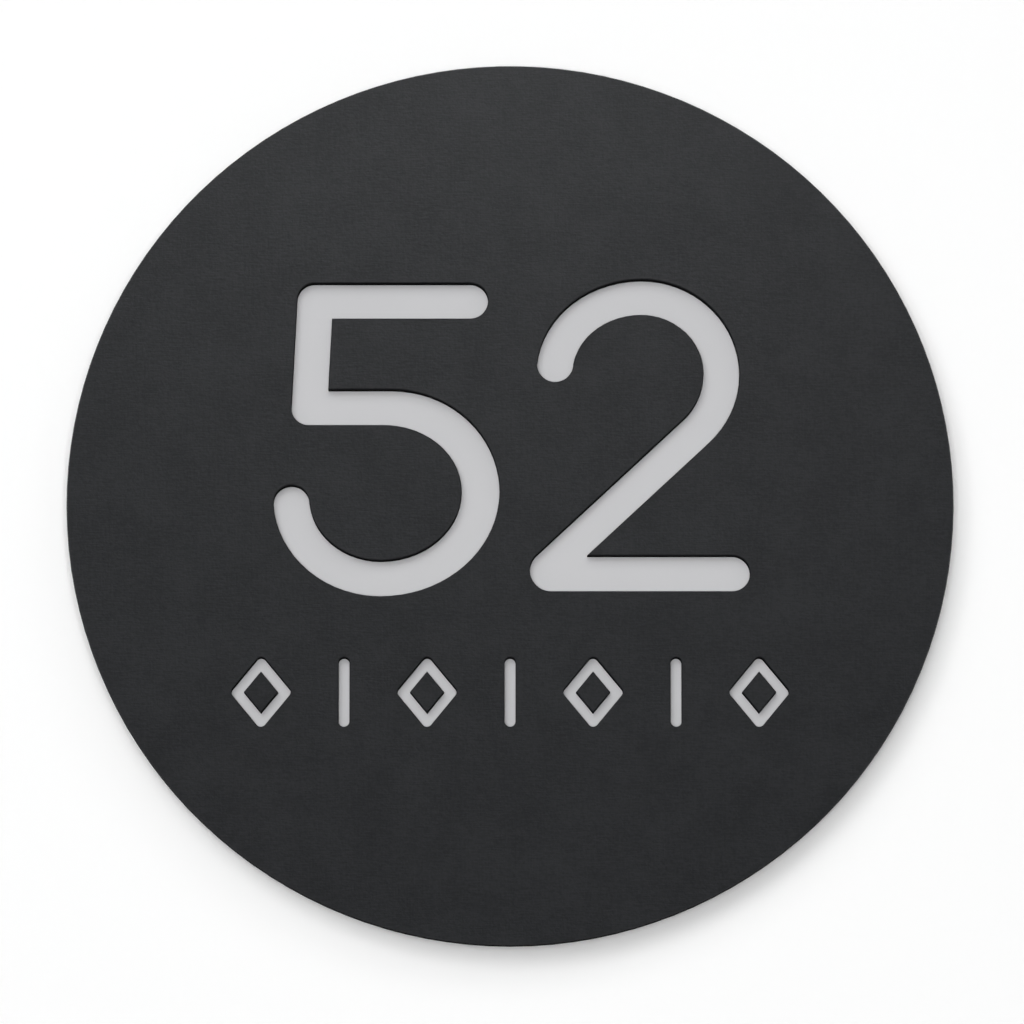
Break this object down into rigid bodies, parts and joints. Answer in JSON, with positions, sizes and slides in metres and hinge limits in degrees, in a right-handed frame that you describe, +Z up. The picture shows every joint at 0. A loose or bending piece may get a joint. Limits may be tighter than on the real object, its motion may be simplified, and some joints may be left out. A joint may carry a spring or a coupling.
{
  "type": "house number plaque",
  "caption": "Round wall plaque of charcoal sheet with cut-through numerals and a small ornamental band, on a light grey backing, held off the wall by hidden studs and sleeves.",
  "frame": {"origin": "middle of the disc on the plane of the wall, where the spacer sleeves end", "axes": "+Z up the plaque as it hangs, +X to the right as seen from the front, +Y into the wall along the studs; the face looks along -Y"},
  "size_m": [0.3, 0.052, 0.3],
  "materials": {
    "charcoal_coat": "matte charcoal powder coat on aluminium sheet, fine horizontal grain and soft mottle",
    "light_coat": "light grey satin coat on aluminium sheet, even",
    "stud_alloy": "bare aluminium alloy weld stud with a rolled thread",
    "sleeve_nylon": "natural nylon, cut to length from tube"
  },
  "bodies": {
    "root": {"face_panel": "charcoal_coat", "lozenge_island_1": "charcoal_coat", "lozenge_island_2": "charcoal_coat", "lozenge_island_3": "charcoal_coat", "lozenge_island_4": "charcoal_coat", "backing_panel": "light_coat", "wall_stud_1": "stud_alloy", "wall_stud_2": "stud_alloy", "wall_stud_3": "stud_alloy", "wall_stud_4": "stud_alloy", "spacer_sleeve_1": "sleeve_nylon", "spacer_sleeve_2": "sleeve_nylon", "spacer_sleeve_3": "sleeve_nylon", "spacer_sleeve_4": "sleeve_nylon"}
  },
  "joints": []
}
